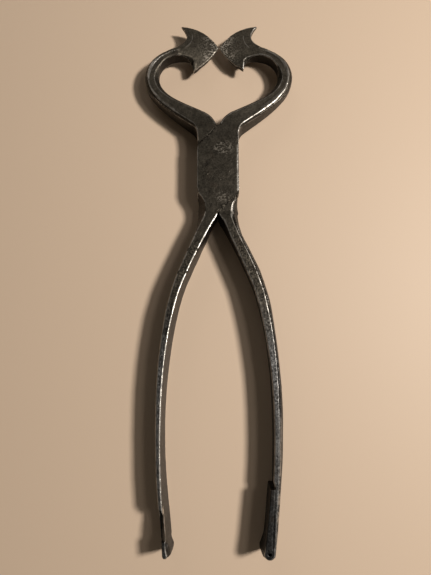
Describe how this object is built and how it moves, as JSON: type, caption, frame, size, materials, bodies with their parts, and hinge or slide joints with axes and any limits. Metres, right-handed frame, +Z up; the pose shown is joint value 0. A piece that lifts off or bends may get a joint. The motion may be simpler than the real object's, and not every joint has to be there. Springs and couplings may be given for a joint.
{
  "type": "nutcracker",
  "caption": "Hand-forged iron nippers: crossed levers on a flush rivet, axe-shaped jaws that meet edge to edge in a heart outline, and long flat strap handles with a folded end.",
  "frame": {"origin": "on the pivot axis, at the underside of the joint, which is the plane that the tool lies on", "axes": "+X across the tool, +Y along it from the pivot to the jaws, +Z up along the pivot axis"},
  "size_m": [0.0738, 0.2515, 0.015],
  "materials": {
    "forged_iron": "hand-forged, dark brown-black, semi-gloss, worn bright along the edges",
    "rivet_iron": "filed flush, dark, satin"
  },
  "bodies": {
    "under": {"under_lever": "forged_iron", "pivot_rivet": "rivet_iron"},
    "over": {"over_lever": "forged_iron"}
  },
  "joints": [
    {"name": "pivot", "type": "hinge", "parent": "under", "child": "over", "pos_m": [0, 0, 0.0066], "axis": [0, 0, -1], "range_deg": [0, 45]}
  ]
}
